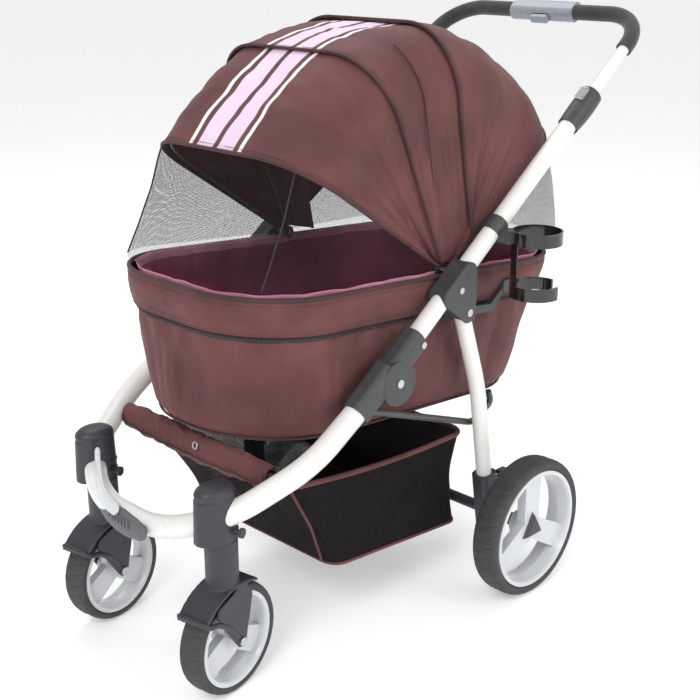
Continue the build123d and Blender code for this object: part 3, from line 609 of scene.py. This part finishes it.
settle(cushion, 0.007, 3.0)
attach(cushion, "push_frame")
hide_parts("mattress")

# ---------------------------------------------------------------- the hood


def arch(t, shrink=0.0, height=HOOD_HEIGHT, base=HOOD_BASE):
    """A point on the hood's arch as (x, rise), t from 0 at the right pivot to 1 at the left one."""
    side = HOOD_HALF_W - shrink
    top = height - shrink
    corner = HOOD_CORNER - shrink
    wall = top - corner - base
    arc = corner * math.pi / 2
    roof = 2 * (side - corner)
    s = t * (2 * wall + 2 * arc + roof)
    if s > wall + arc + roof / 2:
        x, rise = arch(1.0 - t, shrink, height, base)
        return -x, rise
    if s <= wall:
        return side, base + s
    s -= wall
    if s <= arc:
        turn = s / corner
        return side - corner + corner * math.cos(turn), top - corner + corner * math.sin(turn)
    return side - corner - (s - arc), top


def hood_point(t, angle, shrink=0.0, height=HOOD_HEIGHT, base=HOOD_BASE):
    x, rise = arch(t, shrink, height, base)
    return PIVOT + Vector((x, -math.cos(angle) * rise, math.sin(angle) * rise))


TUCK = math.radians(2.2)                           # each section runs on under the next
ZIP_BACK = Vector((0, 0.084, -0.024))             # the zip's feet stand this far behind the pivots


def zip_shift(rise):
    """How far the zip line is swept back from its bow at a rise above the hood's axis."""
    return ZIP_BACK * max(0.0, 1 - rise / (HOOD_HEIGHT - HOOD_CORNER * 0.3)) ** 1.3


def hood_panel(name, start, end, shrink, sag, wrinkle, seed, body, swept=None):
    """Cloth between two bows: it sags a little between them and creases towards the pivots."""
    def point(v, u):
        angle = start + (end - start) * v
        _, rise = arch(u, shrink)
        slack = math.sin(math.pi * v) ** 0.8
        low = bump(u, -0.02, 0.34) + bump(u, 0.66, 1.02)
        crease = low * rough(v * 5.0 + seed, rise * 4, seed) * 1.2 + rough(v * 3 + seed, u * 9, seed + 5.0)
        ripple = rough(v * 9 + seed, u * 26, seed + 1.0)
        pull = 1.0 - abs(2.0 * rough(v * 7.0 + 0.8 * seed, rise * 2.0, seed + 3.0))
        gather = crease + 0.35 * ripple + 0.9 * low * max(0.0, pull - 0.75) * 3
        drop = sag * slack + wrinkle * slack * gather
        drop = max(drop, -0.0035)
        p = hood_point(u, angle, shrink + max(-0.0035, drop) * 0.55)
        centre = PIVOT + Vector((0, -math.cos(angle), math.sin(angle))) * rise * 0.55
        share = 0.0 if swept is None else (v if swept == "end" else 1 - v)
        return p + (centre - p).normalized() * max(0.0, drop) * 0.6 + zip_shift(rise) * share ** 1.5

    panel = sheet_mesh(name, 40, 200, point, False, HOOD_CLOTH, CLOTH)
    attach(panel, body)
    return panel


hood_front = hood_panel("hood_cloth_front", BRIM, RIB + TUCK, 2 * HOOD_NEST, 0.006, 0.007, 1.0, "hood_front")
hood_middle = hood_panel("hood_cloth_middle", RIB, ZIP + TUCK, HOOD_NEST, 0.004, 0.006, 4.0, "hood_middle",
                         "end")
hood_rear = hood_panel("hood_cloth_rear", ZIP, WINDOW, 0.0, 0.002, 0.010, 8.0, "push_frame", "start")
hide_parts("hood_front")
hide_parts("hood_middle")
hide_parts("hood_rear")


def arch_line(angle, shrink, steps=160, low=0.0, high=1.0, base=HOOD_BASE, height=HOOD_HEIGHT):
    return [hood_point(low + (high - low) * k / steps, angle, shrink, height, base) for k in range(steps + 1)]


def zip_line(shrink, angle=ZIP):
    """The zip bow's line, swept back towards its feet."""
    line = []
    for k in range(161):
        _, rise = arch(k / 160, shrink)
        line.append(hood_point(k / 160, angle, shrink) + zip_shift(rise))
    return line


for name, angle, shrink, radius, body in (
        ("brim_piping", BRIM, 2 * HOOD_NEST - 0.001, 0.0032, "hood_front"),
        ("rib_piping", RIB + 0.004, HOOD_NEST - 0.001, 0.0026, "hood_middle"),
        ("zip_piping", ZIP, -0.0012, 0.0034, "push_frame"),
        ("window_piping", WINDOW, -0.0005, 0.003, "push_frame")):
    line = zip_line(shrink) if angle == ZIP else arch_line(angle, shrink)
    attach(piping(name, line, radius, MAT["piping_dark"]), body)
for name, angle, shrink, body in (
        ("brim_stitches", BRIM + 0.022, 2 * HOOD_NEST - 0.0006, "hood_front"),
        ("rib_stitches", RIB + 0.024, HOOD_NEST - 0.0008, "hood_middle"),
        ("window_stitches", WINDOW - 0.02, -0.0006, "push_frame")):
    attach(stitches(name, arch_line(angle, shrink)), body)
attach(stitches("zip_stitches", zip_line(-0.0008, ZIP + 0.024)), "push_frame")
for side in (-1, 1):
    # a dart gathers the middle cloth beside each side of the hood
    low, high = (0.045, 0.36) if side > 0 else (0.64, 0.955)
    dart = arch_line(math.radians(79), HOOD_NEST + 0.0006, 60, low, high)
    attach(piping("hood_dart_right" if side > 0 else "hood_dart_left", dart, 0.0011, MAT["piping_dark"]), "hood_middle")

# ---------------------------------------------------------------- the mesh windows


FRONT_LOW = math.radians(5)
MESH_REACH = 0.412


def front_window(v, u):
    """Net from the brim down to the cot's rim."""
    top = hood_point(u, BRIM - 0.004, 2 * HOOD_NEST, HOOD_HEIGHT, 0.03)
    low = hood_point(u, FRONT_LOW, 2 * HOOD_NEST, MESH_REACH, 0.03)
    floor = rim_level(low.y) + 0.004
    low.z = max(floor, min(low.z, floor + 0.03))
    p = top.lerp(low, v)
    belly = 0.010 * math.sin(math.pi * v) * bump(u, 0.1, 0.9)
    return p + Vector((0, belly * 0.6, -belly * 0.4)) + Vector((0, 0.0015 * rough(u * 24, v * 4), 0))


def rear_window(v, u):
    angle = WINDOW + (REAR - WINDOW) * v
    belly = 0.004 * math.sin(math.pi * v) + 0.002 * rough(u * 22, v * 5, 3.0) * math.sin(math.pi * v)
    return hood_point(u, angle, max(0.0, belly))


window_front = sheet_mesh("window_net_front", 30, 180, front_window, False, MAT["mesh_dark"])
window_rear = sheet_mesh("window_net_rear", 24, 180, rear_window, False, MAT["mesh_dark"])
for obj in (window_front, window_rear):
    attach(obj, "push_frame")
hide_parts("mesh_front")
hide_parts("mesh_rear")
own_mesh(window_front)

for side in (-1, 1):
    # a bound edge runs down each front corner of the net
    corner = 0.5 - side * 0.165
    edge = [front_window(k / 30, corner) + Vector((side * 0.001, -0.001, 0.0)) for k in range(31)]
    band = piping("window_edge_right" if side > 0 else "window_edge_left", edge, 0.0014, BLACK_BAND)
    as_mesh(band)
    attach(band, "push_frame")
    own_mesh(band)

# ---------------------------------------------------------------- the basket

BAG_HALF_W = (BAG_HIGH.x - BAG_LOW.x) / 2 - 0.003
BAG_TOP = ((BAG_LOW.y, BAG_HIGH.z - 0.004), (BAG_HIGH.y - 0.002, BAG_HIGH.z - 0.036))
BAG_BOTTOM = ((BAG_LOW.y + 0.103, BAG_LOW.z + 0.036), (BAG_HIGH.y - 0.004, BAG_LOW.z + 0.006))
BAG_CORNER = 0.028


def bag_ring(u, v, push=0.0):
    """The bag's wall: a rounded outline lofted from the top hem (v 0) to the floor's edge (v 1)."""
    front = BAG_TOP[0][0] + (BAG_BOTTOM[0][0] - BAG_TOP[0][0]) * v
    back = BAG_TOP[1][0] + (BAG_BOTTOM[1][0] - BAG_TOP[1][0]) * v
    half_l = (back - front) / 2
    spot, out = rounded(u, BAG_HALF_W - 0.006 * v, half_l, BAG_CORNER)
    x, y = spot + out * push
    f = min(1.0, max(0.0, (y + half_l) / (2 * half_l)))
    top = BAG_TOP[0][1] + (BAG_TOP[1][1] - BAG_TOP[0][1]) * f
    low = BAG_BOTTOM[0][1] + (BAG_BOTTOM[1][1] - BAG_BOTTOM[0][1]) * f
    dip = 0.010 * math.sin(math.pi * f) * (1 - v)
    return Vector((x, y + (front + back) / 2, top + (low - top) * v - dip))


def bag_point(v, u):
    belly = -0.010 * math.sin(math.pi * min(1.0, v)) * abs(math.sin(2 * math.pi * u * 2)) ** 0.5
    crease = 0.0035 * rough(u * 30, v * 4, 6.0) * math.sin(math.pi * v)
    return bag_ring(u, v, belly + crease)


def bag_floor(v, u):
    edge = bag_point(1.0, u)
    centre = Vector((0, (BAG_BOTTOM[0][0] + BAG_BOTTOM[1][0]) / 2, (BAG_BOTTOM[0][1] + BAG_BOTTOM[1][1]) / 2))
    p = edge.lerp(centre, v)
    p.z -= 0.006 * math.sin(math.pi * v / 2) - 0.002 * rough(p.x * 20, p.y * 20)
    return p


bag = sheet_mesh("basket_bag", 24, 260, bag_point, True, BAG_NET, 0.001)
bag.data.materials.append(SOLID_GREY)
for polygon in bag.data.polygons:
    if polygon.normal.y < -0.55 or polygon.center.y < bag_ring(0.0, 0.0).y + 0.012:
        polygon.material_index = 1
bag_base = sheet_mesh("basket_base", 10, 260, bag_floor, True, SOLID_GREY, 0.001)
bag_parts = [
    piping("basket_hem", [bag_ring(k / 200, 0.0) for k in range(200)], 0.0045, MAT["fabric_brown"],
           True),
    piping("basket_edge", [bag_point(1.0, k / 200) for k in range(200)], 0.003, MAT["fabric_brown"],
           True)]
for side in (-1, 1):
    corner = next(k / 400 for k in range(400) if bag_ring(k / 400, 0.0).x > BAG_HALF_W - 0.010)
    bag_parts.append(piping("basket_seam_right" if side > 0 else "basket_seam_left",
                            [bag_point(k / 20, side * corner) for k in range(21)], 0.003, MAT["fabric_brown"]))
for obj in [bag, bag_base] + bag_parts:
    if obj.type != "MESH":
        as_mesh(obj)
    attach(obj, "push_frame")
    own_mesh(obj)
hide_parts("basket")

# ---------------------------------------------------------------- the crossbar's sleeve

BAR = middle("crossbar")
SLEEVE_R = (SLEEVE_HIGH.y - SLEEVE_LOW.y) / 2
SLEEVE_TALL = (SLEEVE_HIGH.z - SLEEVE_LOW.z) / 2


def sleeve_point(v, u):
    turn = u * 2 * math.pi
    x = SLEEVE_LOW.x + (SLEEVE_HIGH.x - SLEEVE_LOW.x) * v
    gather = rough(x * 42, math.sin(turn) * 1.5, 3.0) * 0.5 + rough(x * 95, math.cos(turn) * 2, 9.0) * 0.4
    swell = 0.86 + 0.14 * math.sin(math.pi * v) ** 0.4 + 0.34 * gather
    centre = (SLEEVE_HIGH + SLEEVE_LOW) / 2
    sag = 0.004 * math.sin(math.pi * v) if math.sin(turn) < 0 else 0.0
    return Vector((x, centre.y + SLEEVE_R * swell * math.cos(turn),
                   centre.z + SLEEVE_TALL * swell * math.sin(turn) - sag))


sleeve = sheet_mesh("crossbar_cover", 160, 40, sleeve_point, True, MAT["fabric_brown"], CLOTH)
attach(sleeve, "front_frame")
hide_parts("crossbar_sleeve")

# sleeve trimmings: a seam and a row of stitches along it, an eyelet and a ring at each end
def sleeve_line(turn, start=0.02, end=0.98, lift=0.0008):
    line = []
    centre = (SLEEVE_HIGH + SLEEVE_LOW) / 2
    for k in range(61):
        p = sleeve_point(start + (end - start) * k / 60, turn / (2 * math.pi))
        out = Vector((0, p.y - centre.y, p.z - centre.z)).normalized()
        line.append(p + out * lift)
    return line


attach(piping("sleeve_seam", sleeve_line(math.radians(205)), 0.0014, MAT["piping_dark"]),
        "front_frame")
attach(stitches("sleeve_stitches", sleeve_line(math.radians(192))), "front_frame")


def ring_line(centre, axis, radius, steps=24):
    """Points of a circle about an axis."""
    axis = Vector(axis).normalized()
    first = axis.orthogonal().normalized()
    second = axis.cross(first)
    turns = [2 * math.pi * k / steps for k in range(steps)]
    return [centre + (first * math.cos(turn) + second * math.sin(turn)) * radius for turn in turns]


eyelet_at = sleeve_line(math.radians(160), 0.55, 0.56)[0]
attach(piping("sleeve_eyelet", ring_line(eyelet_at, (0, -1, 0.35), 0.0055), 0.0016,
               MAT["steel_pin"],
               True), "front_frame")
for side in (-1, 1):
    end_at = Vector((side * (SLEEVE_HIGH.x - 0.004), BAR.y, BAR.z))
    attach(piping("sleeve_ring_right" if side > 0 else "sleeve_ring_left",
                   ring_line(end_at, (1, 0, 0), SLEEVE_R * 0.95), 0.0022, MAT["piping_dark"],
                   True),
            "front_frame")


def along(points, t):
    """A place on a smooth curve through points, t from 0 to 1."""
    count = len(points)
    f = t * (count - 1)
    k = min(int(f), count - 2)
    a, b = points[max(k - 1, 0)], points[k]
    c, d = points[k + 1], points[min(k + 2, count - 1)]
    h = f - k
    square = (2 * a - 5 * b + 4 * c - d) * h * h
    cube = (3 * b - a - 3 * c + d) * h * h * h
    return 0.5 * ((2 * b) + (c - a) * h + square + cube)


def smooth_path(points, steps=60):
    return [along([Vector(p) for p in points], k / steps) for k in range(steps + 1)]


def blade(name, path, widths, thick, normal, material, body):
    """A flat bar with rounded edges swept along path, as wide as widths say across normal."""
    count = len(path)
    points = [Vector(p) for p in path]

    def spot(t):
        f = t * (count - 1)
        k = min(int(f), count - 2)
        h = f - k
        place = along(points, t)
        return place, widths[k] + (widths[k + 1] - widths[k]) * h

    def point(v, u):
        place, width = spot(v)
        ahead, _ = spot(min(1.0, v + 0.01))
        back, _ = spot(max(0.0, v - 0.01))
        across = (ahead - back).cross(Vector(normal)).normalized()
        up = across.cross(ahead - back).normalized()
        turn = u * 2 * math.pi
        square = 0.5
        c, n = math.cos(turn), math.sin(turn)
        cap = min(1.0, 12 * v, 12 * (1 - v)) ** 0.5 + 1e-3
        return (place + across * math.copysign(abs(c) ** square, c) * width / 2 * cap
                + up * math.copysign(abs(n) ** square, n) * thick / 2 * cap)

    bar = sheet_mesh(name, 48, 20, point, True, material)
    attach(bar, body)
    return bar


# the fold hook under each lower hinge
FOLD_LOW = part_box("hinge_lower_right")[0]
for side in (-1, 1):
    foot = Vector((side * (FOLD_LOW.x + 0.012), FOLD_LOW.y + 0.020, FOLD_LOW.z + 0.012))
    blade("fold_hook_right" if side > 0 else "fold_hook_left",
          [foot + Vector((0, dy, dz)) for dy, dz in ((0.004, 0.014), (0.003, -0.004), (-0.002, -0.024),
                                                     (-0.016, -0.041), (-0.036, -0.049))],
          [0.016, 0.014, 0.012, 0.010, 0.006], 0.007, (1, 0, 0), MAT["housing_plastic"],
          "front_frame")

# the ribbed pad hugs the front of the bar from the inner end of the step, and a silver tail
# narrows up from it to the top of the left caster housing
STEP_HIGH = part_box("foot_step")[1]
POST_LOW, POST_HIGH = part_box("caster_housing_left")
BAR_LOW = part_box("front_tube")[0]
PAD_LENGTH = 0.140
PAD_CURVE = 0.018              # how far the pad's outer end follows the bar's bend backwards
BAR_RADIUS = 0.0185


def pad_point(f):
    """A place on the pad, f from its outer end to its inner end."""
    return Vector((STEP_HIGH.x + PAD_LENGTH * f, BAR_LOW.y + PAD_CURVE * (1 - f) ** 2 - 0.006,
                   BAR_LOW.z + BAR_RADIUS))


pad_path = [pad_point(k / 4) for k in range(5)]
tail_path = [Vector((POST_HIGH.x + 0.016, POST_LOW.y - 0.005, POST_HIGH.z - 0.014)),
             Vector((POST_HIGH.x + 0.024, POST_LOW.y - 0.012, POST_LOW.z + 0.044)),
             pad_point(0.08) + Vector((0, -0.002, 0.020)),
             pad_point(0.50) + Vector((0, -0.004, 0.016))]
step_pad = blade("foot_step_pad", pad_path, [0.014, 0.032, 0.036, 0.032, 0.020], 0.012, (-0.3, -1.0, 0.35),
                 MAT["step_plastic"], "front_frame")
blade("foot_step_tail", tail_path, [0.010, 0.024, 0.028, 0.020], 0.009, (-0.6, -1.0, 0.25),
      MAT["rim_silver"], "front_frame")
for k in range(7):
    rib_at = pad_point(0.30 + 0.07 * k)
    rib = [rib_at + Vector((0.003, -0.0055, -0.013)), rib_at + Vector((0, -0.0075, 0)),
           rib_at + Vector((-0.003, -0.0055, 0.013))]
    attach(piping("foot_step_rib_%d" % k, rib, 0.0012, MAT["step_plastic"]), "front_frame")
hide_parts("foot_step")

# domed shells over the caster housings: they close round the front tube
for side_name in ("right", "left"):
    low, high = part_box("caster_housing_" + side_name)
    centre = (low + high) / 2
    radius = (high.x - low.x) / 2
    over = 0.009               # the shell swells forward by this much to close over the tube

    def dome(v, u, centre=centre, low=low, high=high, radius=radius, over=over):
        turn = u * 2 * math.pi
        rise = low.z + 0.0005 + (high.z + 0.004 - low.z) * (1 - (1 - v) ** 1.15)
        shut = math.sqrt(max(0.0, 1 - max(0.0, (v - 0.78) / 0.22) ** 2.2)) * (1.03 - 0.10 * v)
        inset = -0.0012 if 0.70 < v < 0.80 and -0.45 < math.cos(turn + 1.1) - 0.55 else 0.0
        x = centre.x + (radius + inset) * shut * math.cos(turn)
        y = centre.y - over + (radius + over + inset) * shut * math.sin(turn)
        return Vector((x, y, rise))

    shell = sheet_mesh("housing_shell_" + side_name, 60, 96, dome, True, MAT["caster_plastic"])
    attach(shell, "front_frame")
    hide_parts("caster_housing_" + side_name)

# sculpted fork shells, softened from the CAD forks
for side_name in ("right", "left"):
    node = nodes["fork_" + side_name]
    shell = bpy.data.objects.new("fork_shell_" + side_name, node.data.copy())
    bpy.context.scene.collection.objects.link(shell)
    even = shell.modifiers.new("even", "REMESH")
    even.mode = "VOXEL"
    even.voxel_size = 0.0016
    even.use_smooth_shade = True
    soft = shell.modifiers.new("soft", "SMOOTH")
    soft.factor = 0.6
    soft.iterations = 9
    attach(shell, "caster_" + side_name)
    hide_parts("fork_" + side_name)

# tyres with a moulded tread of curved sipes
for node, count, body in (("front_tyre_right", 30, "front_wheel_right"),
                          ("front_tyre_left", 30, "front_wheel_left"),
                          ("rear_tyre_right", 40, "rear_wheel_right"),
                          ("rear_tyre_left", 40, "rear_wheel_left")):
    low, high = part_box(node)
    front = node.startswith("front")
    centre = (low + high) / 2
    outer = (high.z - low.z) / 2
    width = TYRE_WIDTH[0] if front else TYRE_WIDTH[1]
    depth = 0.0165 if front else 0.021
    turn = math.radians(CASTER_TURN) if front else 0.0
    axle = Vector((math.cos(turn), math.sin(turn), 0))
    back = Vector((-math.sin(turn), math.cos(turn), 0))

    def tread(v, u, centre=centre, outer=outer, width=width, depth=depth, axle=axle, back=back, count=count):
        round_turn = v * 2 * math.pi
        section = u * 2 * math.pi
        c, n = math.cos(section), math.sin(section)
        x = math.copysign(abs(c) ** 0.62, c) * width / 2
        r = outer - depth / 2 + math.copysign(abs(n) ** 0.75, n) * depth / 2
        if n > 0:
            side = abs(x) / (width / 2)
            phase = (v * count + 0.55 * side + (0.5 if x > 0 else 0.0)) % 1.0
            r -= 0.0016 * bump(phase, 0.36, 0.64) * ease(side, 0.12, 0.3) * (1 - ease(side, 0.86, 0.98))
            r -= 0.0009 * bump(side, -0.12, 0.12)
        return centre + axle * x + (back * math.cos(round_turn) + Vector((0, 0, math.sin(round_turn)))) * r

    tyre = sheet_mesh("tread_" + node, 540 if front else 720, 36, tread, True, MAT["tyre"])
    weld = tyre.modifiers.new("weld", "WELD")
    weld.merge_threshold = 0.00005
    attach(tyre, body)
    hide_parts(node)

# a thick lip round each fork's fender
for side_name in ("right", "left"):
    axle = middle("front_axle_bolt_" + side_name)
    fork_low, fork_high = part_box("fork_" + side_name)
    turn = math.radians(CASTER_TURN)
    out = Vector((math.cos(turn), math.sin(turn), 0))
    back = Vector((-math.sin(turn), math.cos(turn), 0))
    reach, half, top, start_z = 0.0985, 0.0285, 0.060, 0.018

    def on_fork(x, y, z):
        return axle + out * x + back * y + Vector((0, 0, z))

    edge_y = -math.sqrt(reach ** 2 - top ** 2)
    half_lip = [(half, -0.010, 0.012), (half, -0.026, 0.034), (half + 0.001, -0.052, 0.054),
                (half + 0.001, edge_y + 0.008, top - 0.001), (half - 0.004, edge_y - 0.001, top + 0.005),
                (half - 0.013, edge_y - 0.002, top + 0.006)]
    lip = [on_fork(*spot) for spot in half_lip]
    lip += [on_fork(-x, y, z) for x, y, z in reversed(half_lip)]
    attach(piping("fender_lip_" + side_name, smooth_path(lip), 0.0046, MAT["caster_plastic"]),
            "caster_" + side_name)
    housing_low, housing_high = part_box("caster_housing_" + side_name)
    centre = (housing_low + housing_high) / 2
    radius = (housing_high.x - housing_low.x) / 2
    for level, tag in ((housing_low.z + 0.014, "low"), (housing_low.z + 0.030, "high")):
        ring_at = Vector((centre.x, centre.y, level))
        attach(piping("housing_band_" + tag + "_" + side_name,
                       ring_line(ring_at, (0, 0, 1), radius - 0.0004, 48),
                       0.0011, MAT["housing_plastic"], True), "front_frame")

# ---------------------------------------------------------------- stage, light and camera

bpy.ops.mesh.primitive_plane_add(size=90)
floor = bpy.context.object
floor.name = "floor"
ground = Shader("floor_white")
floor.data.materials.append(ground.finish(Base_Color=(0.9, 0.9, 0.9, 1), Roughness=0.9,
                                          Emission_Color=(1, 1, 1, 1), Emission_Strength=0.32))

world = bpy.data.worlds.new("studio")
bpy.context.scene.world = world
world.use_nodes = True
world.node_tree.nodes["Background"].inputs[0].default_value = (1, 1, 1, 1)
world.node_tree.nodes["Background"].inputs[1].default_value = 0.62


def softbox(name, place, target, size, power):
    lamp = bpy.data.lights.new(name, "AREA")
    lamp.shape = "DISK"
    lamp.size = size
    lamp.energy = power
    obj = bpy.data.objects.new(name, lamp)
    bpy.context.scene.collection.objects.link(obj)
    obj.location = place
    obj.rotation_euler = (Vector(target) - Vector(place)).to_track_quat("-Z", "Y").to_euler()


softbox("key", (1.5, -3.0, 3.2), (0, 0, 0.5), 1.8, 70)
softbox("fill", (3.2, 0.6, 2.0), (0, 0, 0.5), 2.2, 34)
softbox("top", (-1.2, 0.8, 3.6), (0, 0, 0.6), 2.4, 40)

lens = bpy.data.cameras.new("camera")
lens.sensor_width = 36
lens.lens = 61.714
camera = bpy.data.objects.new("camera", lens)
bpy.context.scene.collection.objects.link(camera)
camera.location = (1.4321, -1.4759, 1.1322)
camera.rotation_euler = (math.radians(90 - 19.229), 0, math.radians(44.517))
bpy.context.scene.camera = camera
bpy.context.scene.view_settings.view_transform = "Standard"
